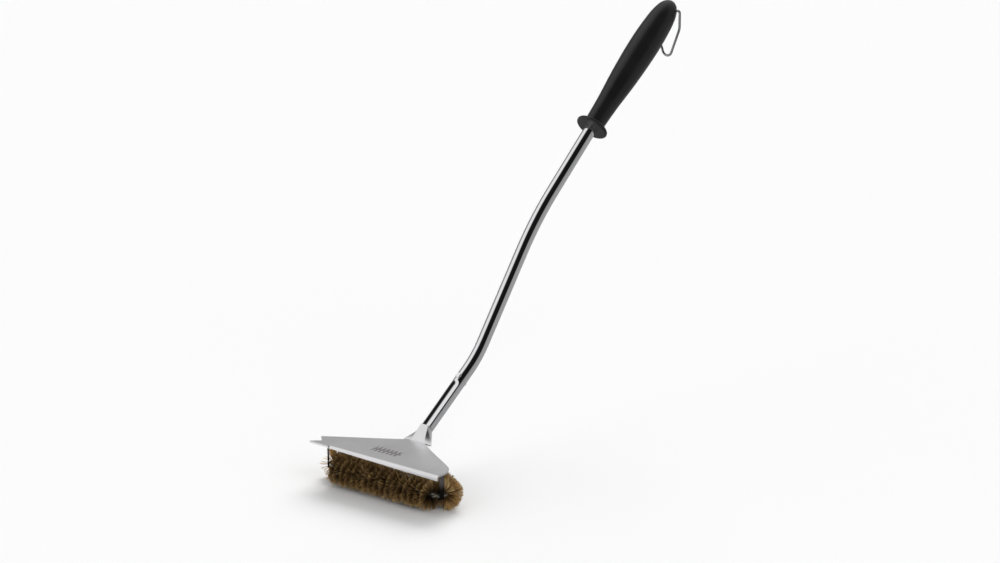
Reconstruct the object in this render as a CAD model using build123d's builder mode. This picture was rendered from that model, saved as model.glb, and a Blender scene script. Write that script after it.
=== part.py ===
from build123d import *
import os
from math import atan2, cos, degrees, radians, sin, tan

# Grill cleaning brush. Millimetres, +Z up, +Y from the brush head towards the grip, +X along the head.
# The origin is the middle of the grip, on its axis, where a hand holds the tool.

# Shaft
TUBE_OD = 11.0
TUBE_WALL = 1.2
GRIP_ANGLE = 38.6  # of each straight run above the horizontal
UPPER_ANGLE = 40.2
MIDDLE_ANGLE = 52.8
LOWER_ANGLE = 35.0
COLLAR_RUN = 8.0  # guard to the slight bend below it
UPPER_RUN = 94.0
MIDDLE_RUN = 131.0
LOWER_RUN = 80.8
COLLAR_BEND_RADIUS = 120.0
UPPER_BEND_RADIUS = 280.0
LOWER_BEND_RADIUS = 90.0
PRESSED_LENGTH = 63.0  # lower end of the tube, pressed onto the tang
GROOVE_LENGTH = 46.0
GROOVE_RADIUS = 8.0  # of the rounded tool that presses the groove
GROOVE_DEPTH = 1.6
GROOVE_TURN = 14.0  # from the tube's upper side towards +X
RIVET_AT = 55.3  # from the tube's mouth
RIVET_DIAMETER = 3.2
RIVET_HEAD_DIAMETER = 5.2
RIVET_HEAD_HEIGHT = 1.2
RIVET_HEAD_ROUNDING = 0.8  # as a share of its height

# Grip
GRIP_LENGTH = 148.0
GRIP_DIAMETER = 26.4
GRIP_NECK_DIAMETER = 17.6
GRIP_FULLEST = 0.66  # where it is fullest, as a share of its length
GRIP_SWELL = ((0.22, 10.0), (0.36, 11.6), (0.50, 12.7))  # share of its length, radius there
GRIP_NOSE = ((29.0, 12.4), (12.0, 10.2), (3.6, 6.6))  # distance before the tip, radius there
GUARD_DIAMETER = 29.4
GUARD_THICKNESS = 3.4
TUBE_IN_GRIP = 112.0
BORE_CLEARANCE = 0.02

# Hanging loop
LOOP_WIRE = 2.2
LOOP_WIDTH = 27.0  # between the centres of its legs
LOOP_LENGTH = 42.0  # cross hole to the centre of the wire at the bottom
LOOP_STRAIGHT = 16.0
LOOP_TIP_RADIUS = 5.0
LOOP_SHOULDER_RADIUS = 14.0
LOOP_CORNER_RADIUS = 2.0
LOOP_HOLE_FROM_TIP = 8.4
LOOP_HOLE_CLEARANCE = 0.05  # radial
LOOP_END_LENGTH = 8.5  # of each end turned in to the cross hole, to the centre of the leg

# Head plate. Its own places are measured from the middle of its front edge, on its top face.
SHEET = 1.5
PLATE_HALF_WIDTH = 69.6  # to the plain end
PLATE_END_DEPTH = 19.2
PLATE_END_RADIUS = 20.0
TONGUE_X = -72.0  # the two points of the scraper tongue
TONGUE_DEPTH = 15.8
NOTCH_Y = 8.2
NOTCH_DEPTH = 8.0
WAIST_Y = 45.8  # where the back edges begin to turn into the neck
WAIST_HALF_WIDTH = 24.5
LIP_START_X = -50.0
LIP_DEPTH_LEFT = 1.8
LIP_DEPTH_RIGHT = 4.4
LIP_BEND = 2.6  # outer radius

# Neck: a sheet channel that rises from the back of the plate into the tube
NECK_ROOT_Y = 57.5
NECK_RIDGE_HALF_WIDTH = 7.2  # of its flat top at the plate
NECK_ROOT_HALF_WIDTH = 15.5  # across the free corners of its sides
NECK_SIDE_DROP = 1.0
NECK_TOP_HALF_WIDTH = 3.9  # at the tube's mouth
NECK_TOP = 5.3  # above the tube's axis
NECK_FOOT_HALF_WIDTH = 5.4
NECK_FOOT = 1.0  # below the tube's axis
NECK_OVERLAP = 0.5  # of the neck's root with the deck
NECK_TURN_INSET = 0.7  # of the channel's inner top corners, as a share of the sheet's thickness
NECK_EDGE_CUT = 0.3  # slant of the channel's free edges, as a share of the sheet's thickness
MOUTH_Y = 69.5  # tube mouth, from the plate's front edge
MOUTH_Z = 8.3  # tube mouth, above the plate's top face
TANG_HALF_WIDTH = 3.2
TANG_TOP = 2.5  # above the tube's axis
TANG_DEPTH = 4.4
TANG_START = 5.0  # the tang begins this far before the mouth, under the neck's flat top

# Brush loop under the plate
CORE_DIAMETER = 4.4
BRISTLE_RADIUS = 14.0
BRISTLE_HOLE = 2.35
CORE_DROP = 23.5  # core axis below the plate's top face
WORN_FLAT = 0.5  # the tips of the bristles are worn to a flat this deep
FRONT_RUN_Y = 12.5
CORNER_X = 54.0  # centre of each corner bend
CORNER_RADIUS = 7.0
SIDE_ANGLE = 30.0  # of the side runs to the front run
BACK_RUN_Y = 50.0
CLIP_ANGLE = -32.0  # where the corner clips sit round the bend
SIDE_RUN_BARE = 9.0  # bare core at the back end of each side run
RUN_GAP = 0.1  # between one run of bristles and the next
FERRULE_LENGTH = 16.0
FERRULE_DIAMETER = 6.4
FERRULE_EDGE_RADIUS = 0.6
CLIP_WIDTH = 4.0
REAR_CLIP_WIDTH = 6.0
CLIP_BEND_ROOM = 0.4  # radial, for the curve of the core inside a corner clip
CLIP_THICKNESS = 1.0
CLIP_FOOT = 9.0
FIT_GAP = 0.05

# Cuts
CUT_MARGIN = 1.0  # how far a cut runs on past the piece it cuts
CUTTER = 100.0  # side of the blocks that trim the bristles

os.makedirs("parts", exist_ok=True)


def along(start, length, angle):
    """The (y, z) point at a length from start, at an angle above the horizontal."""
    return (start[0] + length * cos(radians(angle)), start[1] + length * sin(radians(angle)))


# Reference points in the plane of symmetry, as (y, z), from the grip down to the head
collar = along((0.0, 0.0), -GRIP_LENGTH / 2, GRIP_ANGLE)
grip_tip = along(collar, GRIP_LENGTH, GRIP_ANGLE)
tube_end = along(collar, TUBE_IN_GRIP, GRIP_ANGLE)
collar_bend = along(collar, -COLLAR_RUN, GRIP_ANGLE)
upper_bend = along(collar_bend, -UPPER_RUN, UPPER_ANGLE)
lower_bend = along(upper_bend, -MIDDLE_RUN, MIDDLE_ANGLE)
mouth = along(lower_bend, -LOWER_RUN, LOWER_ANGLE)
head_y = mouth[0] - MOUTH_Y
head_z = mouth[1] - MOUTH_Z
core_z = head_z - CORE_DROP
loop_hole = along(grip_tip, -LOOP_HOLE_FROM_TIP, GRIP_ANGLE)

deck = Plane(origin=(0, head_y, head_z))
core_plane = Plane(origin=(0, head_y, core_z))


def across(point, angle):
    """The plane across the shaft at a (y, z) point, its local Y on the shaft's upper side."""
    direction = (0, cos(radians(angle)), sin(radians(angle)))
    return Plane(origin=(0, point[0], point[1]), x_dir=(-1, 0, 0), z_dir=direction)


def upper_side(point, angle):
    """The plane along the shaft at a (y, z) point, facing out of its upper side."""
    up = (0, -sin(radians(angle)), cos(radians(angle)))
    return Plane(origin=(0, point[0], point[1]), x_dir=(0, cos(radians(angle)), sin(radians(angle))), z_dir=up)


def finish(part, name):
    """Names a finished piece and writes its STEP file."""
    part.label = name
    export_step(part, f"parts/{name}.step")


# ---------------------------------------------------------------- shaft
mouth_plane = across(mouth, LOWER_ANGLE)
inner_radius = TUBE_OD / 2 - TUBE_WALL
groove_offset = TUBE_OD / 2 - GROOVE_DEPTH + GROOVE_RADIUS
groove_side = (-groove_offset * sin(radians(GROOVE_TURN)), groove_offset * cos(radians(GROOVE_TURN)))
rivet_point = along(mouth, RIVET_AT, LOWER_ANGLE)

with BuildPart() as shaft_tube:
    with BuildLine(Plane.YZ) as shaft_line:
        FilletPolyline(
            mouth,
            lower_bend,
            upper_bend,
            collar_bend,
            tube_end,
            radius=(LOWER_BEND_RADIUS, UPPER_BEND_RADIUS, COLLAR_BEND_RADIUS),
        )
    with BuildSketch(mouth_plane):
        Circle(TUBE_OD / 2)
        Circle(inner_radius, mode=Mode.SUBTRACT)
    sweep(path=shaft_line.line)
    # The pressed end: its wall closes onto the tang, with a long hollow groove that starts at the mouth.
    with BuildSketch(mouth_plane):
        Circle(inner_radius)
    extrude(amount=PRESSED_LENGTH)
    with BuildSketch(mouth_plane):
        with Locations((0, TANG_TOP - TANG_DEPTH / 2)):
            Rectangle(2 * (TANG_HALF_WIDTH + FIT_GAP), TANG_DEPTH + 2 * FIT_GAP)
    extrude(amount=PRESSED_LENGTH, mode=Mode.SUBTRACT)
    with BuildSketch(mouth_plane):
        with Locations(groove_side):
            Circle(GROOVE_RADIUS)
    extrude(amount=GROOVE_LENGTH, mode=Mode.SUBTRACT)
    with Locations(mouth_plane.location * Location((*groove_side, GROOVE_LENGTH))):
        Sphere(GROOVE_RADIUS, mode=Mode.SUBTRACT)
    with BuildSketch(upper_side(rivet_point, LOWER_ANGLE)):
        Circle(RIVET_DIAMETER / 2)
    extrude(amount=TUBE_OD, both=True, mode=Mode.SUBTRACT)
finish(shaft_tube.part, "shaft_tube")

with BuildPart() as tang_rivet:
    with BuildSketch(upper_side(rivet_point, LOWER_ANGLE)):
        Circle(RIVET_DIAMETER / 2 - BORE_CLEARANCE)
    extrude(amount=TUBE_OD / 2 + RIVET_HEAD_HEIGHT / 2, both=True)
    for side in (1, -1):
        head_seat = upper_side(rivet_point, LOWER_ANGLE).offset(side * (TUBE_OD / 2 + BORE_CLEARANCE))
        with BuildSketch(head_seat):
            Circle(RIVET_HEAD_DIAMETER / 2)
        extrude(amount=side * RIVET_HEAD_HEIGHT)
    rims = tang_rivet.edges().filter_by(GeomType.CIRCLE).sort_by(lambda e: e.center().Z)
    fillet([rims[0], rims[-1]], radius=RIVET_HEAD_HEIGHT * RIVET_HEAD_ROUNDING)
finish(tang_rivet.part, "tang_rivet")

# ---------------------------------------------------------------- head plate
half = PLATE_HALF_WIDTH
plate_corners = (
    (TONGUE_X, 0.4, 0.4),
    (LIP_START_X, 0, 40.0),
    (half, 0, 1.5),
    (half, PLATE_END_DEPTH, PLATE_END_RADIUS),
    (WAIST_HALF_WIDTH, WAIST_Y, 14.0),
    (NECK_RIDGE_HALF_WIDTH, NECK_ROOT_Y, 0),
    (-NECK_RIDGE_HALF_WIDTH, NECK_ROOT_Y, 0),
    (-WAIST_HALF_WIDTH, WAIST_Y, 14.0),
    (TONGUE_X, TONGUE_DEPTH, 0.4),
    (TONGUE_X + NOTCH_DEPTH, NOTCH_Y, 1.0),
)


def channel(top, top_half_width, foot, foot_half_width):
    """Outline of a sheet channel, open below, with sides that splay out from its flat top."""
    inner_top = top_half_width - SHEET * NECK_TURN_INSET
    inner_foot = foot_half_width - SHEET
    return (
        (-foot_half_width, foot),
        (-top_half_width, top),
        (top_half_width, top),
        (foot_half_width, foot),
        (inner_foot, foot - SHEET * NECK_EDGE_CUT),
        (inner_top, top - SHEET),
        (-inner_top, top - SHEET),
        (-inner_foot, foot - SHEET * NECK_EDGE_CUT),
    )


neck_root = Plane(origin=(0, head_y + NECK_ROOT_Y - NECK_OVERLAP, head_z), x_dir=(-1, 0, 0), z_dir=(0, 1, 0))
neck_end = mouth_plane.offset(-FIT_GAP)
lip_profile = Plane(origin=(LIP_START_X, head_y, head_z), x_dir=(0, 1, 0), z_dir=(1, 0, 0))
bend_centre = (LIP_BEND, -LIP_BEND)

with BuildPart() as head_plate:
    with BuildSketch(deck):
        with BuildLine():
            FilletPolyline(
                *[(x, y) for x, y, _ in plate_corners],
                radius=[r for _, _, r in plate_corners],
                close=True,
            )
        make_face()
        # The lip's bend takes the place of the deck's front strip.
        with Locations(((LIP_START_X + half + CUT_MARGIN) / 2, 0)):
            Rectangle(half + CUT_MARGIN - LIP_START_X, 2 * LIP_BEND, mode=Mode.SUBTRACT)
    extrude(amount=-SHEET)
    # The front lip, turned down in a round bend, runs out towards the scraper tongue.
    with BuildSketch(lip_profile):
        with BuildLine():
            CenterArc(bend_centre, LIP_BEND, 90, 90)
            Line((0, -LIP_BEND), (0, -LIP_DEPTH_RIGHT))
            Line((0, -LIP_DEPTH_RIGHT), (SHEET, -LIP_DEPTH_RIGHT))
            Line((SHEET, -LIP_DEPTH_RIGHT), (SHEET, -LIP_BEND))
            CenterArc(bend_centre, LIP_BEND - SHEET, 90, 90)
            Line((LIP_BEND, -SHEET), (LIP_BEND, 0))
        make_face()
    extrude(amount=half - LIP_START_X)
    with BuildSketch(Plane(origin=(0, head_y, head_z), x_dir=(1, 0, 0), z_dir=(0, -1, 0))):
        Polygon(
            (LIP_START_X - CUT_MARGIN, -LIP_DEPTH_LEFT),
            (half + CUT_MARGIN, -LIP_DEPTH_RIGHT),
            (half + CUT_MARGIN, -2 * LIP_DEPTH_RIGHT),
            (LIP_START_X - CUT_MARGIN, -2 * LIP_DEPTH_RIGHT),
            align=None,
        )
    extrude(amount=-2 * LIP_BEND, mode=Mode.SUBTRACT)
    # The neck rises from the back of the deck. Its sides are free of the deck below the flat top.
    with BuildSketch(neck_root):
        Polygon(*channel(0, NECK_RIDGE_HALF_WIDTH, -NECK_SIDE_DROP, NECK_ROOT_HALF_WIDTH), align=None)
    with BuildSketch(neck_end):
        Polygon(*channel(NECK_TOP, NECK_TOP_HALF_WIDTH, -NECK_FOOT, NECK_FOOT_HALF_WIDTH), align=None)
    loft(ruled=True)
    # The tang goes on from under the neck's top into the tube.
    with BuildSketch(mouth_plane.offset(-TANG_START)):
        with Locations((0, TANG_TOP - TANG_DEPTH / 2)):
            Rectangle(2 * TANG_HALF_WIDTH, TANG_DEPTH)
        with Locations((0, TANG_TOP - TANG_DEPTH / 2 - SHEET)):
            Rectangle(2 * (TANG_HALF_WIDTH - SHEET), TANG_DEPTH, mode=Mode.SUBTRACT)
    extrude(amount=TANG_START + PRESSED_LENGTH)
    with BuildSketch(upper_side(rivet_point, LOWER_ANGLE)):
        Circle(RIVET_DIAMETER / 2)
    extrude(amount=TUBE_OD, both=True, mode=Mode.SUBTRACT)
finish(head_plate.part, "head_plate")

# ---------------------------------------------------------------- brush core
side_slope = tan(radians(SIDE_ANGLE))
bend_setback = CORNER_RADIUS * tan(radians(90 - SIDE_ANGLE / 2))
corner_vertex = CORNER_X + bend_setback
back_vertex = corner_vertex - (BACK_RUN_Y - FRONT_RUN_Y) / side_slope

with BuildPart() as brush_core:
    with BuildLine(core_plane) as core_line:
        FilletPolyline(
            (-1, BACK_RUN_Y),
            (-back_vertex, BACK_RUN_Y),
            (-corner_vertex, FRONT_RUN_Y),
            (corner_vertex, FRONT_RUN_Y),
            (back_vertex, BACK_RUN_Y),
            (1, BACK_RUN_Y),
            radius=CORNER_RADIUS,
        )
    with BuildSketch(Plane(origin=core_line.line @ 0, z_dir=core_line.line % 0)):
        Circle(CORE_DIAMETER / 2)
    sweep(path=core_line.line)
finish(brush_core.part, "brush_core")

with BuildPart() as core_ferrule:
    with BuildSketch(Plane(origin=(-FERRULE_LENGTH / 2, head_y + BACK_RUN_Y, core_z), z_dir=(1, 0, 0))):
        Circle(FERRULE_DIAMETER / 2)
        Circle(CORE_DIAMETER / 2 + BORE_CLEARANCE, mode=Mode.SUBTRACT)
    extrude(amount=FERRULE_LENGTH)
    fillet(core_ferrule.edges().filter_by(GeomType.CIRCLE).sort_by(SortBy.RADIUS)[-2:], radius=FERRULE_EDGE_RADIUS)
finish(core_ferrule.part, "core_ferrule")

# ---------------------------------------------------------------- clips
clip_rise = CORE_DROP - SHEET - FIT_GAP  # core axis to the underside of the plate


def clip(name, plane, bore_radius, width):
    """A strap wrapped round the core, with a leg up to a foot under the plate."""
    outside = bore_radius + CLIP_THICKNESS
    with BuildPart() as strap:
        with BuildSketch(plane):
            Circle(outside)
            with Locations((-bore_radius - CLIP_THICKNESS / 2, clip_rise / 2)):
                Rectangle(CLIP_THICKNESS, clip_rise)
            with Locations((-outside + CLIP_FOOT / 2, clip_rise - CLIP_THICKNESS / 2)):
                Rectangle(CLIP_FOOT, CLIP_THICKNESS)
            Circle(bore_radius, mode=Mode.SUBTRACT)
        extrude(amount=width / 2, both=True)
    finish(strap.part, name)


for side, side_name in ((1, "right"), (-1, "left")):
    outward = (side * cos(radians(CLIP_ANGLE)), sin(radians(CLIP_ANGLE)), 0)
    run = (-side * outward[1], side * outward[0], 0)
    seat = (
        side * CORNER_X + CORNER_RADIUS * outward[0],
        head_y + FRONT_RUN_Y + CORNER_RADIUS + CORNER_RADIUS * outward[1],
        core_z,
    )
    corner_plane = Plane(origin=seat, x_dir=(-outward[0], -outward[1], 0), z_dir=(run[0], run[1], 0))
    if corner_plane.y_dir.Z < 0:
        corner_plane = Plane(origin=seat, x_dir=(-outward[0], -outward[1], 0), z_dir=(-run[0], -run[1], 0))
    clip(f"corner_clip_{side_name}", corner_plane, CORE_DIAMETER / 2 + CLIP_BEND_ROOM, CLIP_WIDTH)

rear_plane = Plane(origin=(0, head_y + BACK_RUN_Y, core_z), x_dir=(0, -1, 0), z_dir=(-1, 0, 0))
clip("rear_clip", rear_plane, FERRULE_DIAMETER / 2 + BORE_CLEARANCE, REAR_CLIP_WIDTH)

# ---------------------------------------------------------------- bristles
# Each run is a closed solid of the outer shape of its bristles, bored for the core.
floor_z = core_z - BRISTLE_RADIUS + WORN_FLAT
corner_centre_y = head_y + FRONT_RUN_Y + CORNER_RADIUS
side_start = (
    CORNER_X + CORNER_RADIUS * sin(radians(SIDE_ANGLE)),
    corner_centre_y + CORNER_RADIUS * cos(radians(SIDE_ANGLE)),
)
side_length = (side_start[0] - back_vertex) / cos(radians(SIDE_ANGLE)) - SIDE_RUN_BARE / 2
worn_tips = Plane(origin=(0, head_y, floor_z))

with BuildPart() as bristles_front:
    with BuildSketch(Plane(origin=(-CORNER_X + RUN_GAP, head_y + FRONT_RUN_Y, core_z), z_dir=(1, 0, 0))):
        Circle(BRISTLE_RADIUS)
        Circle(BRISTLE_HOLE, mode=Mode.SUBTRACT)
    extrude(amount=2 * (CORNER_X - RUN_GAP))
    split(bisect_by=worn_tips, keep=Keep.TOP)
    # The side runs of the core pass through its back at both ends.
    for side in (1, -1):
        run = (-side * cos(radians(SIDE_ANGLE)), sin(radians(SIDE_ANGLE)), 0)
        with BuildSketch(Plane(origin=(side * side_start[0], side_start[1], core_z), z_dir=run)):
            Circle(BRISTLE_HOLE)
        extrude(amount=CORNER_RADIUS * 2, both=True, mode=Mode.SUBTRACT)
finish(bristles_front.part, "bristles_front")

for side, side_name in ((1, "right"), (-1, "left")):
    run = (-side * cos(radians(SIDE_ANGLE)), sin(radians(SIDE_ANGLE)), 0)
    start = (side * side_start[0], side_start[1], core_z)
    with BuildPart() as side_run:
        with BuildSketch(Plane(origin=start, z_dir=run)):
            Circle(BRISTLE_RADIUS)
            Circle(BRISTLE_HOLE, mode=Mode.SUBTRACT)
        extrude(amount=side_length)
        split(bisect_by=worn_tips, keep=Keep.TOP)
        # It stops where the front run's bristles and the other side's begin.
        with BuildSketch(Plane(origin=(-CORNER_X - CUTTER / 2, head_y + FRONT_RUN_Y, core_z), z_dir=(1, 0, 0))):
            Circle(BRISTLE_RADIUS + RUN_GAP)
        extrude(amount=2 * CORNER_X + CUTTER, mode=Mode.SUBTRACT)
        with BuildSketch(Plane(origin=(-side * CUTTER / 2, head_y + BACK_RUN_Y, core_z))):
            Rectangle(CUTTER + 2 * RUN_GAP, CUTTER)
        extrude(amount=2 * BRISTLE_RADIUS, both=True, mode=Mode.SUBTRACT)
    finish(side_run.part, f"bristles_{side_name}")

    with BuildPart() as corner_fan:
        centre = (side * CORNER_X, corner_centre_y, core_z)
        with BuildSketch(Plane(origin=centre, x_dir=(side, 0, 0), z_dir=(0, -side, 0))):
            with Locations((CORNER_RADIUS, 0)):
                Circle(BRISTLE_RADIUS)
                Circle(BRISTLE_HOLE, mode=Mode.SUBTRACT)
            with Locations((-CUTTER / 2 + RUN_GAP, 0)):
                Rectangle(CUTTER, CUTTER, mode=Mode.SUBTRACT)
        revolve(
            axis=Axis(centre, (0, 0, side)),
            revolution_arc=90 - SIDE_ANGLE - RUN_GAP,
        )
        split(bisect_by=worn_tips, keep=Keep.TOP)
    finish(corner_fan.part, f"bristle_corner_{side_name}")

# ---------------------------------------------------------------- grip
grip_axis = upper_side(collar, GRIP_ANGLE)
neck_radius = GRIP_NECK_DIAMETER / 2
full_radius = GRIP_DIAMETER / 2
guard_radius = GUARD_DIAMETER / 2
rim_edge = guard_radius - GUARD_THICKNESS / 2
fullest = (GRIP_LENGTH * GRIP_FULLEST, full_radius)

with BuildPart() as grip:
    with BuildSketch(grip_axis):
        with BuildLine():
            Line((0, 0), (0, rim_edge))
            ThreePointArc((0, rim_edge), (GUARD_THICKNESS / 2, guard_radius), (GUARD_THICKNESS, rim_edge))
            Line((GUARD_THICKNESS, rim_edge), (GUARD_THICKNESS, neck_radius))
            Spline(
                (GUARD_THICKNESS, neck_radius),
                *[(share * GRIP_LENGTH, radius) for share, radius in GRIP_SWELL],
                fullest,
                tangents=((1, 0.03), (1, 0)),
            )
            Spline(
                fullest,
                *[(GRIP_LENGTH - before, radius) for before, radius in GRIP_NOSE],
                (GRIP_LENGTH, 0),
                tangents=((1, 0), (0, -1)),
            )
            Line((GRIP_LENGTH, 0), (0, 0))
        make_face()
    revolve(axis=Axis(grip_axis.origin, grip_axis.x_dir))
    with BuildSketch(across(collar, GRIP_ANGLE)):
        Circle(TUBE_OD / 2 + BORE_CLEARANCE)
    extrude(amount=TUBE_IN_GRIP + 2 * CUT_MARGIN, mode=Mode.SUBTRACT)
    with BuildSketch(Plane(origin=(0, loop_hole[0], loop_hole[1]), z_dir=(1, 0, 0))):
        Circle(LOOP_WIRE / 2 + LOOP_HOLE_CLEARANCE)
    extrude(amount=full_radius + CUT_MARGIN, both=True, mode=Mode.SUBTRACT)
finish(grip.part, "grip")

# ---------------------------------------------------------------- hanging loop
# At rest it hangs straight down from the cross hole. Its legs turn in to the hole at the top.
leg_x = LOOP_WIDTH / 2
end_x = leg_x - LOOP_END_LENGTH
tip_half_angle = 21.0  # of the tapered lower part, settled by its width and length
for _ in range(20):
    reach = LOOP_LENGTH - LOOP_STRAIGHT + LOOP_TIP_RADIUS / sin(radians(tip_half_angle)) - LOOP_TIP_RADIUS
    tip_half_angle = degrees(atan2(leg_x, reach))
taper_apex = LOOP_STRAIGHT + reach

with BuildPart() as hang_loop:
    with BuildLine(Plane(origin=(0, loop_hole[0], loop_hole[1]), x_dir=(1, 0, 0), z_dir=(0, -1, 0))) as loop_line:
        FilletPolyline(
            (end_x, 0),
            (leg_x, 0),
            (leg_x, -LOOP_STRAIGHT),
            (0, -taper_apex),
            (-leg_x, -LOOP_STRAIGHT),
            (-leg_x, 0),
            (-end_x, 0),
            radius=(
                LOOP_CORNER_RADIUS,
                LOOP_SHOULDER_RADIUS,
                LOOP_TIP_RADIUS,
                LOOP_SHOULDER_RADIUS,
                LOOP_CORNER_RADIUS,
            ),
        )
    with BuildSketch(Plane(origin=loop_line.line @ 0, z_dir=loop_line.line % 0)):
        Circle(LOOP_WIRE / 2)
    sweep(path=loop_line.line)
finish(hang_loop.part, "hang_loop")

print("origin to plate front edge", round(head_y, 3), round(head_z, 3))
print("core z", round(core_z, 3), "floor z", round(floor_z, 3))
print("cross hole", [round(v, 3) for v in loop_hole], "tube mouth", [round(v, 3) for v in mouth])
print("collar", [round(v, 3) for v in collar], "grip tip", [round(v, 3) for v in grip_tip])
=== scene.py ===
import math
import random

import bmesh
import bpy
from bpy.props import FloatProperty, FloatVectorProperty, IntProperty, PointerProperty
from mathutils import Matrix, Vector, noise


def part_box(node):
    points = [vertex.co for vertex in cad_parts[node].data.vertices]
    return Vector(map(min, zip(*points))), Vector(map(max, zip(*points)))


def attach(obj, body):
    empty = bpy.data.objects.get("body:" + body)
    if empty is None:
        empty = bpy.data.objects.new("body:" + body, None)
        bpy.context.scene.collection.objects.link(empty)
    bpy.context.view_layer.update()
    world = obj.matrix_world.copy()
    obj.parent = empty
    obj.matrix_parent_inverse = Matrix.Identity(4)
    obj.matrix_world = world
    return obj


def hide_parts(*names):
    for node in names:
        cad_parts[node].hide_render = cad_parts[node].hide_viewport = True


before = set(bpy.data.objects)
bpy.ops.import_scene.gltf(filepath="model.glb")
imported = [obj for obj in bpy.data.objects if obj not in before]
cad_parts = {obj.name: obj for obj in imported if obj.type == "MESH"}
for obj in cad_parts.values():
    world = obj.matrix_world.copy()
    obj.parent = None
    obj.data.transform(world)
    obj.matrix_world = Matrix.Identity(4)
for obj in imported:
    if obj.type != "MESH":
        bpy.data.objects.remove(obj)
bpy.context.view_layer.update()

bl_info = {
    "name": "Grill cleaning brush",
    "version": (1, 0, 0),
    "blender": (4, 5, 0),
    "location": "View3D > Sidebar > Grill brush",
    "description": "Dresses the brush's frame with wire bristles, twisted core and finishes",
    "category": "Object",
}

MM = 0.001
CORNER_DENSITY = 2  # rows in the corner fans for each row in a straight run, as the fans spread open
WANDER_SEED = 7  # of the noise that tips wander by; any whole number but 0, which takes the clock
ROOT_GAP = 0.12  # of a bristle's reach, from the core's axis to where its wire starts
WIRE_TAPER = 0.85  # of a bristle's radius, left at its tip
LENGTH_SPREAD = (0.91, 1.01)  # shortest and longest bristle, as shares of the reach
LEAN_SPREAD = 0.07  # radians, how far bristles lean along the core
FAN_LIMIT = -0.1  # corner bristles that point inwards past this cosine are left out
COARSE_WANDER = 190.0  # per metre, of the noise that neighbouring tips share
FINE_WANDER = 700.0  # per metre, of the noise that parts single wires
TONE_CELLS = (4000, 40)  # cells of one tone in a metre along the core, and in a radian round it
CELL_STRIDE = 31  # keeps the cells' keys apart
FAN_TURN = math.radians(90)  # how far the core has turned where a corner fan begins
STRAND_SEGMENTS = 8
STRAND_STEPS = 14  # rings in one turn of the twist
EYE_FROM_HEAD = Vector((2.0710, -2.3720, 1.1105))  # metres, from the brush head to the camera
CORNER_FAN_PAINTED_LIGHT = 0.38  # of the bristles' length, how far the corner fans' colour is shifted towards the bright tips: painted light on the fans


# ------------------------------------------------------------------ sizes and colours a user may change


class BrushSizes(bpy.types.PropertyGroup):
    """Sizes of the wire parts"""

    wire_radius: FloatProperty(
        name="Bristle radius",
        description="Half the thickness of one bristle",
        default=0.19 * MM,
        unit="LENGTH",
    )
    row_gap: FloatProperty(
        name="Row gap",
        description="Distance along the core between rows of bristles",
        default=0.42 * MM,
        unit="LENGTH",
    )
    row_count: IntProperty(
        name="Bristles per row", description="Bristles on each side of the core in one row", default=12
    )
    twist_pitch: FloatProperty(
        name="Twist pitch",
        description="Length of core in one full turn of its twist",
        default=12.6 * MM,
        unit="LENGTH",
    )
    spread: FloatProperty(
        name="Spread",
        description="Angle that a row opens to either side",
        default=math.radians(24),
        subtype="ANGLE",
    )
    raggedness: FloatProperty(
        name="Raggedness", description="How far the tips wander", default=1.1 * MM, unit="LENGTH"
    )
    gather: FloatProperty(
        name="Gather",
        description="How far the tips lean in to the middle of their tuft",
        default=0.9 * MM,
        unit="LENGTH",
    )
    strand_radius: FloatProperty(
        name="Strand radius", description="Radius of one strand of the core", default=1.1 * MM, unit="LENGTH"
    )


class BrushColours(bpy.types.PropertyGroup):
    """Colours of the finishes"""

    # painted shade: the wire near the core, deep in the bundle, is coloured dark for the shade that falls
    # there
    bristle_root_shade: FloatVectorProperty(
        name="Bristle root",
        description="Sooted wire near the core",
        default=(0.032, 0.019, 0.007),
        subtype="COLOR",
    )
    bristle_middle: FloatVectorProperty(
        name="Bristle middle", description="Tarnished brass", default=(0.38, 0.225, 0.078), subtype="COLOR"
    )
    bristle_tip: FloatVectorProperty(
        name="Bristle tip", description="Cut brass at the tips", default=(0.90, 0.64, 0.30), subtype="COLOR"
    )
    plate: FloatVectorProperty(
        name="Plate", description="Satin stainless sheet", default=(0.84, 0.83, 0.84), subtype="COLOR"
    )
    chrome: FloatVectorProperty(
        name="Chrome", description="Bright plating", default=(0.80, 0.80, 0.81), subtype="COLOR"
    )
    grip: FloatVectorProperty(
        name="Grip", description="Black moulding", default=(0.004, 0.004, 0.0045), subtype="COLOR"
    )
    loop: FloatVectorProperty(
        name="Loop wire", description="Plated wire", default=(0.42, 0.42, 0.43), subtype="COLOR"
    )
    clip: FloatVectorProperty(
        name="Clip", description="Dull steel strip", default=(0.30, 0.30, 0.30), subtype="COLOR"
    )


class StageSettings(bpy.types.PropertyGroup):
    """Camera, floor and light"""

    azimuth: FloatProperty(
        name="Azimuth",
        description="Camera's bearing round the brush",
        default=math.radians(39.2),
        subtype="ANGLE",
    )
    elevation: FloatProperty(
        name="Elevation", description="Camera's height angle", default=math.radians(16.9), subtype="ANGLE"
    )
    lens: FloatProperty(name="Lens", description="Focal length in millimetres", default=144.0)
    floor_size: FloatProperty(name="Floor", description="Side of the floor", default=14.0, unit="LENGTH")
    floor_white: FloatProperty(
        name="Floor white",
        description="How much light the floor returns",
        default=0.90,
    )
    sky: FloatProperty(name="Sky", description="Strength of the light dome", default=0.95)
    key: FloatProperty(name="Key", description="Strength of the soft light from behind", default=2.0)
    side: FloatProperty(name="Side", description="Strength of the soft light from the right", default=0.9)


# ------------------------------------------------------------------ shader maths


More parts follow.
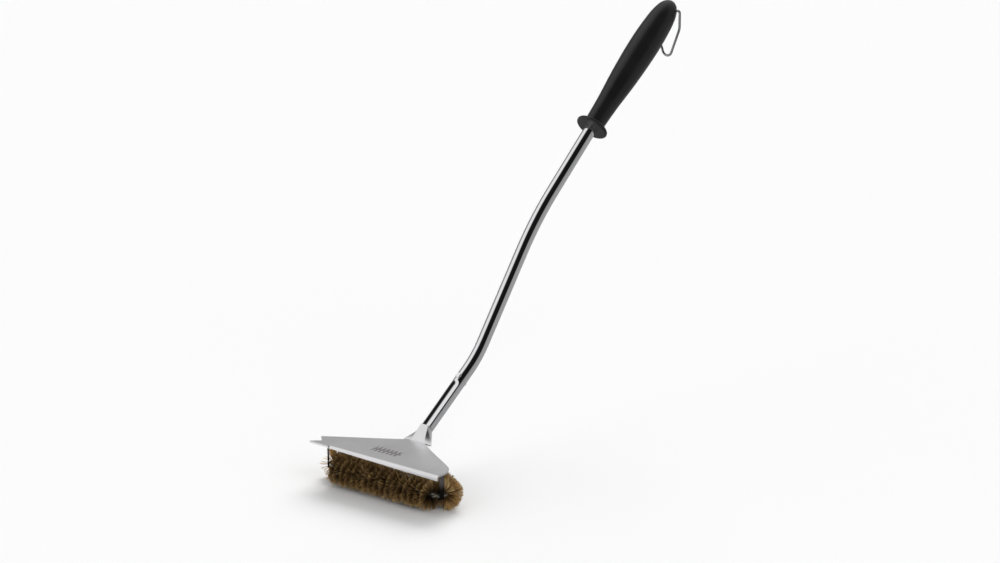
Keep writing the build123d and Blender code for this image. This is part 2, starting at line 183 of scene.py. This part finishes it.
class Signal:
    """A socket of a shader tree. Sums and products of signals add the nodes that work them out."""

    def __init__(self, tree, socket=None):
        self.tree = tree
        self.socket = socket

    def add(self, kind, settings=None, inputs=None, output=0):
        """Adds a node: its settings first, then values or signals into its sockets."""
        node = self.tree.nodes.new(kind)
        for name, value in (settings or {}).items():
            if name == "stops":
                fill_ramp(node.color_ramp, value)
            else:
                setattr(node, name, value)
        for key, value in (inputs or {}).items():
            if isinstance(value, Signal):
                self.tree.links.new(value.socket, node.inputs[key])
            else:
                node.inputs[key].default_value = value
        return Signal(self.tree, node.outputs[output] if node.outputs else None)

    def maths(self, operation, first, second):
        return self.add("ShaderNodeMath", {"operation": operation}, {0: first, 1: second})

    def __add__(self, other):
        return self.maths("ADD", self, other)

    def __sub__(self, other):
        return self.maths("SUBTRACT", self, other)

    def __rsub__(self, other):
        return self.maths("SUBTRACT", other, self)

    def __mul__(self, other):
        return self.maths("MULTIPLY", self, other)

    def __lt__(self, other):
        return self.maths("LESS_THAN", self, other)

    def __gt__(self, other):
        return self.maths("GREATER_THAN", self, other)

    def __abs__(self):
        return self.maths("ABSOLUTE", self, 0.0)

    __radd__ = __add__
    __rmul__ = __mul__


def fill_ramp(ramp, stops):
    """Sets a ramp's stops, given as (place, grey) or (place, colour)."""
    while len(ramp.elements) < len(stops):
        ramp.elements.new(1.0)
    for element, (place, colour) in zip(ramp.elements, stops):
        element.position = place
        element.color = (*colour, 1.0) if hasattr(colour, "__len__") else (colour, colour, colour, 1.0)


def coordinates(sheet, output, scale=(1, 1, 1), shift=(0, 0, 0)):
    """A texture coordinate, moved and scaled: output 2 is UV and 3 is Object."""
    place = sheet.add("ShaderNodeTexCoord", output=output)
    return sheet.add("ShaderNodeMapping", inputs={"Vector": place, "Scale": scale, "Location": shift})


def blend_colour(sheet, factor, first, second, mode="MIX"):
    """Mixes two colours."""
    values = {0: factor, 6: colour_of(first), 7: colour_of(second)}
    return sheet.add("ShaderNodeMix", {"data_type": "RGBA", "blend_type": mode}, values, output=2)


def colour_of(value):
    return value if isinstance(value, Signal) else (*value, 1.0)


def speckle(sheet, where, scale, detail=3.0, roughness=0.55):
    """Fractal noise as a number."""
    return sheet.add(
        "ShaderNodeTexNoise",
        inputs={"Vector": where, "Scale": scale, "Detail": detail, "Roughness": roughness},
    )


def ramp(sheet, factor, stops):
    return sheet.add("ShaderNodeValToRGB", {"stops": stops}, {"Fac": factor})


def finish(name, build):
    """A material whose build function returns the values and signals for the Principled shader."""
    material = bpy.data.materials.new(name)
    material.use_nodes = True
    tree = material.node_tree
    tree.nodes.clear()
    sheet = Signal(tree)
    values = build(sheet)
    height = values.pop("bump", None)
    if height:
        signal, depth, strength = height
        values["Normal"] = sheet.add(
            "ShaderNodeBump", inputs={"Height": signal, "Distance": depth, "Strength": strength}
        )
    shader = sheet.add("ShaderNodeBsdfPrincipled", inputs=values)
    sheet.add("ShaderNodeOutputMaterial", inputs={"Surface": shader})
    return material


def dress(obj, material):
    """Gives an object one material."""
    obj.data.materials.clear()
    obj.data.materials.append(material)


# ------------------------------------------------------------------ finishes


def bristle_finish(colours):
    def build(sheet):
        along = coordinates(sheet, 2)
        parts = sheet.add("ShaderNodeSeparateXYZ", inputs={0: along})
        reach = Signal(sheet.tree, parts.socket.node.outputs[1])
        shade = Signal(sheet.tree, parts.socket.node.outputs[0])
        place = coordinates(sheet, 3)
        patches = speckle(sheet, place, 90.0)
        reach = reach + (patches - 0.5) * 0.2 + (shade - 0.5) * 0.26
        # the ramp darkens towards the core: painted shade inside the bundle; the middle and tips keep the
        # brass colours
        stops = ((0.32, colours.bristle_root_shade), (0.76, colours.bristle_middle), (1.0, colours.bristle_tip))
        colour = ramp(sheet, reach, [(p, tuple(c)) for p, c in stops])
        glint = ramp(sheet, shade, [(0.0, 0.62), (1.0, 1.0)])
        colour = blend_colour(sheet, 1.0, colour, glint, "MULTIPLY")
        rough = 0.5 - shade * 0.12
        return {"Base Color": colour, "Metallic": 0.55, "Roughness": rough, "Specular IOR Level": 0.4}

    return finish("brass_bristle", build)


def strand_finish():
    def build(sheet):
        place = coordinates(sheet, 3)
        zinc = speckle(sheet, place, 900.0)
        colour = blend_colour(sheet, zinc, (0.16, 0.14, 0.11), (0.46, 0.44, 0.40))
        return {
            "Base Color": colour,
            "Metallic": 0.9,
            "Roughness": 0.35 + zinc * 0.2,
            "bump": (zinc, 0.00005, 0.4),
        }

    return finish("galvanised_strand", build)


def plate_finish(colours):
    """Satin sheet with grain along the head, faint smudges, and a plain etched grate sign."""

    def build(sheet):
        grain = speckle(sheet, coordinates(sheet, 3, scale=(60, 2600, 2600)), 1.0, 4.0)
        cloud = speckle(sheet, coordinates(sheet, 3), 28.0, 4.0)
        fine = speckle(sheet, coordinates(sheet, 3), 2400.0, 2.0)
        tone = ramp(sheet, cloud, [(0.3, 0.92), (0.7, 1.0)])
        colour = blend_colour(sheet, 1.0, tuple(colours.plate), tone, "MULTIPLY")
        colour = blend_colour(sheet, grain * 0.16, colour, (0.66, 0.66, 0.67))
        etched = grate_sign(sheet)
        colour = blend_colour(sheet, etched, colour, (0.22, 0.21, 0.21))
        rough = 0.28 + grain * 0.12 + cloud * 0.06 + etched * 0.2
        relief = grain * 0.6 + fine * 0.5 - etched * 1.5
        return {
            "Base Color": colour,
            "Metallic": 1.0 - etched * 0.6,
            "Roughness": rough,
            "bump": (relief, 0.00004, 0.35),
        }

    return finish("satin_sheet", build)


def grate_sign(sheet):
    """1 inside a small plain sign of a grate on the deck, seven bars across one rail, and 0 outside."""
    low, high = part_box("head_plate")
    centre = (-2.6 * MM, low.y + 21.0 * MM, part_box("brush_core")[1].z + 20.0 * MM)
    place = coordinates(sheet, 3, shift=(-centre[0], -centre[1], 0))
    parts = sheet.add("ShaderNodeSeparateXYZ", inputs={0: place}).socket.node.outputs
    x, y, z = (Signal(sheet.tree, parts[n]) for n in range(3))
    inside = (abs(x) < 15 * MM) * (abs(y) < 5.5 * MM) * (z > centre[2])
    wave = sheet.maths("PINGPONG", x + 100 * MM, 2.1 * MM)
    bars = (wave > 0.75 * MM) * (abs(x) < 14.2 * MM)
    rail = abs(y) < 1.3 * MM
    return sheet.maths("MAXIMUM", bars, rail) * inside


def chrome_finish(colours):
    def build(sheet):
        place = coordinates(sheet, 3)
        haze = speckle(sheet, place, 130.0)
        specks = speckle(sheet, place, 1500.0, 2.0)
        colour = blend_colour(sheet, haze * 0.25, tuple(colours.chrome), (0.66, 0.66, 0.68))
        rough = 0.045 + haze * 0.05
        return {"Base Color": colour, "Metallic": 1.0, "Roughness": rough, "bump": (specks, 0.00001, 0.12)}

    return finish("bright_chrome", build)


def rivet_finish():
    def build(sheet):
        place = coordinates(sheet, 3)
        haze = speckle(sheet, place, 700.0)
        colour = blend_colour(sheet, haze, (0.78, 0.78, 0.78), (0.9, 0.9, 0.9))
        return {
            "Base Color": colour,
            "Metallic": 1.0,
            "Roughness": 0.22 + haze * 0.12,
            "bump": (haze, 0.00003, 0.3),
        }

    return finish("rivet_steel", build)


def grip_finish(colours):
    def build(sheet):
        place = coordinates(sheet, 3)
        leather = speckle(sheet, place, 1500.0, 3.0)
        wear = speckle(sheet, place, 40.0, 4.0)
        colour = blend_colour(sheet, wear, tuple(colours.grip), (0.016, 0.016, 0.017))
        rough = 0.24 + wear * 0.08 + leather * 0.04
        parts = sheet.add("ShaderNodeSeparateXYZ", inputs={0: place})
        seam = abs(Signal(sheet.tree, parts.socket.node.outputs[0])) < 0.12 * MM
        return {
            "Base Color": colour,
            "Roughness": rough,
            "Specular IOR Level": 0.34,
            "bump": (leather * 0.35 + seam * 1.2, 0.00006, 0.35),
        }

    return finish("black_moulding", build)


def loop_finish(colours):
    def build(sheet):
        place = coordinates(sheet, 3)
        haze = speckle(sheet, place, 500.0)
        colour = blend_colour(sheet, haze, tuple(colours.loop), (0.20, 0.20, 0.21))
        return {
            "Base Color": colour,
            "Metallic": 1.0,
            "Roughness": 0.18 + haze * 0.12,
            "bump": (haze, 0.00002, 0.2),
        }

    return finish("plated_wire", build)


def clip_finish(colours):
    """Dull strip, clean at the top and darker lower down, with painted shade where it goes down among the
    bristles.
    """

    def build(sheet):
        core_z = sum(corner.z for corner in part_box("brush_core")) / 2
        top_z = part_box("bristles_front")[1].z
        place = coordinates(sheet, 3)
        stain = speckle(sheet, place, 260.0, 5.0)
        parts = sheet.add("ShaderNodeSeparateXYZ", inputs={0: place}).socket.node.outputs
        risen = (Signal(sheet.tree, parts[2]) - core_z) * (1 / (top_z - core_z))
        # painted shade: the strip turns near black towards the core, where it sits among the bristles
        low_painted_shade = ramp(sheet, risen + stain * 0.2, [(0.55, 1.0), (1.0, 0.25)])
        colour = blend_colour(sheet, stain, tuple(colours.clip), (0.13, 0.115, 0.10))
        colour = blend_colour(sheet, low_painted_shade, colour, (0.010, 0.008, 0.006))
        return {
            "Base Color": colour,
            "Metallic": 0.9,
            "Roughness": 0.38 + stain * 0.2,
            "bump": (stain, 0.00006, 0.3),
        }

    return finish("dull_strip", build)


def floor_finish(white):
    """White from above, greyer in the gloss behind the brush, and nothing at all from below."""
    material = bpy.data.materials.new("studio_floor")
    material.use_nodes = True
    material.node_tree.nodes.clear()
    sheet = Signal(material.node_tree)
    place = sheet.add(
        "ShaderNodeVectorMath", {"operation": "DOT_PRODUCT"}, {0: coordinates(sheet, 3), 1: (0.6, 0.8, 0)}, 1
    )
    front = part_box("head_plate")[0].y
    shaded = ramp(sheet, place - (front - 0.1), [(0.02, 1.0), (0.16, 0.40)])
    mirrored = sheet.add("ShaderNodeLightPath", output=3)
    shade = blend_colour(sheet, mirrored, (1, 1, 1), shaded)
    shade = blend_colour(sheet, 1.0, shade, (white, white, white), "MULTIPLY")
    colour = sheet.add("ShaderNodeBsdfDiffuse", inputs={"Color": shade})
    clear = sheet.add("ShaderNodeBsdfTransparent")
    behind = sheet.add("ShaderNodeNewGeometry", output=6)
    mixed = sheet.add("ShaderNodeMixShader", inputs={0: behind, 1: colour, 2: clear})
    sheet.add("ShaderNodeOutputMaterial", inputs={"Surface": mixed})
    return material


# ------------------------------------------------------------------ the line that the brush follows


class CoreLine:
    """The core's centre line: front run, tight corners, side runs and back run, from its middle outwards."""

    def __init__(self):
        low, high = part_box("brush_core")
        wire = (high.z - low.z) / 2
        self.z = (high.z + low.z) / 2
        self.front = low.y + wire
        run_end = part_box("bristles_front")[1].x
        self.bend = high.x - wire - run_end
        side_turn = math.radians(150)
        depth = high.y - wire - self.front
        side_rise = depth - self.bend * (1 - math.cos(side_turn)) - self.bend * (1 + math.cos(side_turn))
        self.legs = [
            (run_end, 0.0),
            (self.bend * side_turn, 1 / self.bend),
            (side_rise / math.sin(side_turn), 0.0),
            (self.bend * (math.pi - side_turn), 1 / self.bend),
            (20 * MM, 0.0),
        ]

    def at(self, distance):
        """Point, heading and distance left for a distance from the middle, on the right-hand half."""
        x, y, heading = 0.0, self.front, 0.0
        for length, curl in self.legs:
            step = min(distance, length)
            if curl:
                turned = heading + step * curl
                x += (math.sin(turned) - math.sin(heading)) / curl
                y += (math.cos(heading) - math.cos(turned)) / curl
                heading = turned
            else:
                x += step * math.cos(heading)
                y += step * math.sin(heading)
            distance -= step
            if distance <= 0:
                break
        return x, y, heading

    def lay(self, co):
        """Moves a point of a straight run, with X along it and Y outwards, on to the line.

        Outwards is -Y at the front, so a mesh comes out mirrored and needs its faces reversed.
        """
        side = 1 if co.x >= 0 else -1
        x, y, heading = self.at(abs(co.x))
        return Vector(
            (side * (x + co.y * math.sin(heading)), y - co.y * math.cos(heading), self.z + co.z)
        )

    def distance(self, leg):
        """Where a leg begins, measured along the line."""
        return sum(length for length, _ in self.legs[:leg])


def new_piece(name, bm, body, replaced):
    """Writes a bmesh to a new object that rides on a body."""
    mesh = bpy.data.meshes.new(name)
    bm.to_mesh(mesh)
    bm.free()
    piece = bpy.data.objects.new(name, mesh)
    bpy.context.scene.collection.objects.link(piece)
    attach(piece, body)
    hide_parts(*replaced)
    return piece


# ------------------------------------------------------------------ bristles


def bristle_row(place, sizes, reach, dice, outward_only):
    """One row of bristles through the twist: two opposite tufts, as a small bmesh."""
    row = bmesh.new()
    turn = 2 * math.pi * place / sizes.twist_pitch
    for opposite in (0.0, math.pi):
        for _ in range(sizes.row_count):
            angle = turn + opposite + dice.gauss(0.0, 1.0) * sizes.spread
            if outward_only and math.cos(angle) < FAN_LIMIT:
                continue
            lean = dice.gauss(0.0, LEAN_SPREAD)
            length = reach * dice.uniform(*LENGTH_SPREAD)
            root = Matrix.Translation((place + dice.uniform(-0.5, 0.5) * sizes.row_gap, 0.0, 0.0))
            aim = Matrix.Rotation(angle - math.pi / 2, 4, "X") @ Matrix.Rotation(lean, 4, "Y")
            start = ROOT_GAP * reach
            middle = Matrix.Translation((0.0, 0.0, (length + start) / 2))
            bmesh.ops.create_cone(
                row,
                cap_ends=True,
                segments=3,
                radius1=sizes.wire_radius,
                radius2=sizes.wire_radius * WIRE_TAPER,
                depth=length - start,
                matrix=root @ aim @ middle,
            )
    long_edges = [e for e in row.edges if e.calc_length() > reach * 0.4]
    bmesh.ops.subdivide_edges(row, edges=long_edges, cuts=2, use_grid_fill=True)
    return row


def ruffle(bm, sizes, reach):
    """Draws the wires together into one tuft for each half turn of the twist, and lets their tips wander."""
    for v in bm.verts:
        out = math.hypot(v.co.y, v.co.z) / reach
        astray = 2 * math.pi * v.co.x / sizes.twist_pitch - math.atan2(v.co.z, v.co.y)
        v.co.x -= math.sin(2 * astray) * sizes.gather * out * out
        coarse = noise.noise_vector(v.co * COARSE_WANDER)
        fine = noise.noise_vector(v.co * FINE_WANDER + Vector((7.0, 3.0, 1.0)))
        v.co += (coarse * 1.1 + fine * 0.5) * sizes.raggedness * out * out


def mark_reach(bm, reach, dice, fan_painted_light):
    """Keeps each wire's tone and each point's reach in a UV map. Wires given painted light are bright nearer
    the core.
    """
    layer = bm.loops.layers.uv.new("UVMap")
    tone = {}
    for face in bm.faces:
        for loop in face.loops:
            v = loop.vert
            out = math.hypot(v.co.y, v.co.z) / reach
            along, around = round(v.co.x * TONE_CELLS[0]), round(math.atan2(v.co.z, v.co.y) * TONE_CELLS[1])
            key = along * CELL_STRIDE + around
            shade = tone.setdefault(key, dice.random())
            loop[layer].uv = (shade, min(out + fan_painted_light, 1.0))


def bristle_run(name, line, start, end, replaced, sizes, material, corner=False):
    """A run of bristles between two distances along the core."""
    low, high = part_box("bristles_front")
    reach = (high.y - low.y) / 2
    floor = low.z
    dice = random.Random(name)
    run = bmesh.new()
    rows = round((end - start) / sizes.row_gap * (CORNER_DENSITY if corner else 1))
    scratch = bpy.data.meshes.new("row")
    for n in range(rows):
        place = start + (n + 0.5) * (end - start) / rows
        row = bristle_row(place, sizes, reach, dice, corner)
        row.to_mesh(scratch)
        row.free()
        run.from_mesh(scratch)
    bpy.data.meshes.remove(scratch)
    # the corner fans get painted light: their colour is shifted towards the bright tips
    mark_reach(run, reach, dice, CORNER_FAN_PAINTED_LIGHT if corner else 0.0)
    ruffle(run, sizes, reach)
    for v in run.verts:
        v.co = line.lay(v.co)
        v.co.z = max(v.co.z, floor)
    bmesh.ops.reverse_faces(run, faces=run.faces)
    piece = new_piece(name, run, "brush", [replaced])
    dress(piece, material)
    return piece


class GRILLBRUSH_OT_bristles(bpy.types.Operator):
    """Plants the brass bristles along the front run, the corners and the side runs"""

    bl_idname = "grillbrush.bristles"
    bl_label = "Bristles"

    def execute(self, context):
        noise.seed_set(WANDER_SEED)
        sizes = context.scene.brush_sizes
        material = bristle_finish(context.scene.brush_colours)
        line = CoreLine()
        front_end = line.distance(1)
        bend_end = line.distance(2)
        fan_start = front_end + FAN_TURN * line.bend
        side_end = line.distance(3) - 3 * MM
        bristle_run("front_bristles", line, -front_end, front_end, "bristles_front", sizes, material)
        for side, word in ((1, "right"), (-1, "left")):
            low, high = sorted((side * bend_end, side * side_end))
            bristle_run(f"{word}_bristles", line, low, high, f"bristles_{word}", sizes, material)
            low, high = sorted((side * fan_start, side * bend_end))
            bristle_run(
                f"{word}_corner_bristles",
                line,
                low,
                high,
                f"bristle_corner_{word}",
                sizes,
                material,
                corner=True,
            )
        return {"FINISHED"}


# ------------------------------------------------------------------ core


class GRILLBRUSH_OT_core(bpy.types.Operator):
    """Twists the two strands of the core and bends them round the brush"""

    bl_idname = "grillbrush.core"
    bl_label = "Twisted core"

    def execute(self, context):
        sizes = context.scene.brush_sizes
        line = CoreLine()
        half = line.distance(4) + 12 * MM
        turns = 2 * half / sizes.twist_pitch
        steps = round(turns * STRAND_STEPS)
        bm = bmesh.new()
        for opposite in (0.0, math.pi):
            side = Matrix.Rotation(opposite - turns * math.pi, 4, "X")
            off_axis = Matrix.Translation((0.0, sizes.strand_radius, 0.0))
            seat = Matrix.Translation((-half, 0.0, 0.0)) @ side @ off_axis
            ring = bmesh.ops.create_circle(
                bm,
                cap_ends=False,
                radius=sizes.strand_radius,
                segments=STRAND_SEGMENTS,
                matrix=seat @ Matrix.Rotation(math.pi / 2, 4, "Y"),
            )["verts"]
            edges = list(dict.fromkeys(e for v in ring for e in v.link_edges))
            bmesh.ops.spin(
                bm,
                geom=ring + edges,
                cent=(0, 0, 0),
                axis=(1, 0, 0),
                dvec=(2 * half / steps, 0, 0),
                angle=turns * 2 * math.pi,
                steps=steps,
                use_duplicate=False,
            )
        bmesh.ops.holes_fill(bm, edges=[e for e in bm.edges if e.is_boundary], sides=STRAND_SEGMENTS)
        bmesh.ops.recalc_face_normals(bm, faces=bm.faces)
        for v in bm.verts:
            v.co = line.lay(v.co)
        bmesh.ops.reverse_faces(bm, faces=bm.faces)
        for face in bm.faces:
            face.smooth = True
        piece = new_piece("core_strands", bm, "brush", ["brush_core"])
        dress(piece, strand_finish())
        return {"FINISHED"}


# ------------------------------------------------------------------ finishes of the CAD pieces


class GRILLBRUSH_OT_plate(bpy.types.Operator):
    """Gives the head plate its satin sheet finish"""

    bl_idname = "grillbrush.plate"
    bl_label = "Head plate"

    def execute(self, context):
        dress(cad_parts["head_plate"], plate_finish(context.scene.brush_colours))
        return {"FINISHED"}


class GRILLBRUSH_OT_shaft(bpy.types.Operator):
    """Gives the tube, its rivet and the hanging loop their plating"""

    bl_idname = "grillbrush.shaft"
    bl_label = "Shaft, rivet and loop"

    def execute(self, context):
        chrome = chrome_finish(context.scene.brush_colours)
        dress(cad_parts["shaft_tube"], chrome)
        dress(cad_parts["hang_loop"], loop_finish(context.scene.brush_colours))
        dress(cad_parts["tang_rivet"], rivet_finish())
        return {"FINISHED"}


class GRILLBRUSH_OT_grip(bpy.types.Operator):
    """Gives the grip its black moulded finish"""

    bl_idname = "grillbrush.grip"
    bl_label = "Grip"

    def execute(self, context):
        dress(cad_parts["grip"], grip_finish(context.scene.brush_colours))
        return {"FINISHED"}


class GRILLBRUSH_OT_clips(bpy.types.Operator):
    """Gives the clips and the ferrule their dull steel finish"""

    bl_idname = "grillbrush.clips"
    bl_label = "Clips and ferrule"

    def execute(self, context):
        strip = clip_finish(context.scene.brush_colours)
        for node in ("corner_clip_right", "corner_clip_left", "rear_clip", "core_ferrule"):
            dress(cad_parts[node], strip)
        return {"FINISHED"}


# ------------------------------------------------------------------ stage


def studio_sky(strength):
    """A white dome with a dark flag above the camera's right shoulder and a dimmer wall behind the brush."""
    world = bpy.data.worlds.new("studio")
    world.use_nodes = True
    world.node_tree.nodes.clear()
    sheet = Signal(world.node_tree)
    way = sheet.add("ShaderNodeTexCoord", output=0)
    flag = Vector((0.57, -0.29, 0.77)).normalized()
    near = sheet.add("ShaderNodeVectorMath", {"operation": "DOT_PRODUCT"}, {0: way, 1: flag}, output=1)
    level = sheet.maths("MULTIPLY_ADD", near, 0.5)
    level.socket.node.inputs[2].default_value = 0.5
    dome_stops = [(0.0, 0.20), (0.38, 0.27), (0.50, 1.0), (0.82, 1.0), (0.89, 0.06), (0.93, 0.01)]
    glow = ramp(sheet, level, dome_stops)
    right = Vector((0.775, 0.632, 0.0))
    side = sheet.add("ShaderNodeVectorMath", {"operation": "DOT_PRODUCT"}, {0: way, 1: right}, output=1)
    fade = ramp(sheet, side, [(0.25, 1.0), (0.6, 0.80), (0.95, 0.35)])
    glow = blend_colour(sheet, 1.0, glow, fade, "MULTIPLY")
    dome = sheet.add("ShaderNodeBackground", inputs={"Color": glow, "Strength": strength})
    backdrop = sheet.add("ShaderNodeBackground", inputs={"Color": (1, 1, 1, 1), "Strength": 1.0})
    seen = sheet.add("ShaderNodeLightPath", output=0)
    both = sheet.add("ShaderNodeMixShader", inputs={0: seen, 1: dome, 2: backdrop})
    sheet.add("ShaderNodeOutputWorld", inputs={"Surface": both})
    bpy.context.scene.world = world


class GRILLBRUSH_OT_stage(bpy.types.Operator):
    """Makes the floor, the light and the camera"""

    bl_idname = "grillbrush.stage"
    bl_label = "Stage"

    def execute(self, context):
        stage = context.scene.brush_stage
        floor_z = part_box("bristles_front")[0].z
        bm = bmesh.new()
        bmesh.ops.create_grid(bm, x_segments=2, y_segments=2, size=stage.floor_size / 2)
        bmesh.ops.translate(bm, verts=bm.verts, vec=(0.0, 0.0, floor_z))
        mesh = bpy.data.meshes.new("floor")
        bm.to_mesh(mesh)
        bm.free()
        floor = bpy.data.objects.new("floor", mesh)
        context.scene.collection.objects.link(floor)
        dress(floor, floor_finish(stage.floor_white))

        studio_sky(stage.sky)
        for name, energy, spread, way in (
            ("key", stage.key, 38, (-0.45, 1.05, 1.0)),
            ("side", stage.side, 50, (0.85, -0.15, 0.60)),
        ):
            light = bpy.data.lights.new(name, "SUN")
            light.energy = energy
            light.angle = math.radians(spread)
            lamp = bpy.data.objects.new(name, light)
            lamp.rotation_mode = "QUATERNION"
            lamp.rotation_quaternion = Vector(way).to_track_quat("Z", "Y")
            lamp.visible_glossy = False
            context.scene.collection.objects.link(lamp)

        head = Vector((0.0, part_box("bristles_front")[0].y + 1.5 * MM, floor_z + 37 * MM))
        camera = bpy.data.cameras.new("camera")
        camera.lens = stage.lens
        camera.clip_end = 50.0
        eye = bpy.data.objects.new("camera", camera)
        back = Vector(
            (
                math.sin(stage.azimuth) * math.cos(stage.elevation),
                -math.cos(stage.azimuth) * math.cos(stage.elevation),
                math.sin(stage.elevation),
            )
        )
        eye.location = head + EYE_FROM_HEAD
        eye.rotation_mode = "QUATERNION"
        eye.rotation_quaternion = (-back).to_track_quat("-Z", "Y")
        context.scene.collection.objects.link(eye)
        context.scene.camera = eye
        context.scene.view_settings.view_transform = "Standard"
        return {"FINISHED"}


class GRILLBRUSH_PT_panel(bpy.types.Panel):
    """Lists the steps that dress the brush"""

    bl_idname = "GRILLBRUSH_PT_panel"
    bl_label = "Grill brush"
    bl_space_type = "VIEW_3D"
    bl_region_type = "UI"
    bl_category = "Grill brush"

    def draw(self, context):
        for group in (context.scene.brush_sizes, context.scene.brush_colours, context.scene.brush_stage):
            box = self.layout.box()
            for name in group.bl_rna.properties.keys():
                if name not in ("rna_type", "name"):
                    box.prop(group, name)
        for step in STEPS:
            self.layout.operator(step.bl_idname)


STEPS = (
    GRILLBRUSH_OT_stage,
    GRILLBRUSH_OT_bristles,
    GRILLBRUSH_OT_core,
    GRILLBRUSH_OT_plate,
    GRILLBRUSH_OT_shaft,
    GRILLBRUSH_OT_grip,
    GRILLBRUSH_OT_clips,
)
CLASSES = (BrushSizes, BrushColours, StageSettings, *STEPS, GRILLBRUSH_PT_panel)


def register():
    for cls in CLASSES:
        bpy.utils.register_class(cls)
    bpy.types.Scene.brush_sizes = PointerProperty(type=BrushSizes)
    bpy.types.Scene.brush_colours = PointerProperty(type=BrushColours)
    bpy.types.Scene.brush_stage = PointerProperty(type=StageSettings)


def unregister():
    del bpy.types.Scene.brush_stage
    del bpy.types.Scene.brush_colours
    del bpy.types.Scene.brush_sizes
    for cls in reversed(CLASSES):
        bpy.utils.unregister_class(cls)


def main():
    register()
    bpy.ops.grillbrush.stage()
    bpy.ops.grillbrush.bristles()
    bpy.ops.grillbrush.core()
    bpy.ops.grillbrush.plate()
    bpy.ops.grillbrush.shaft()
    bpy.ops.grillbrush.grip()
    bpy.ops.grillbrush.clips()


if __name__ == "__main__":
    main()
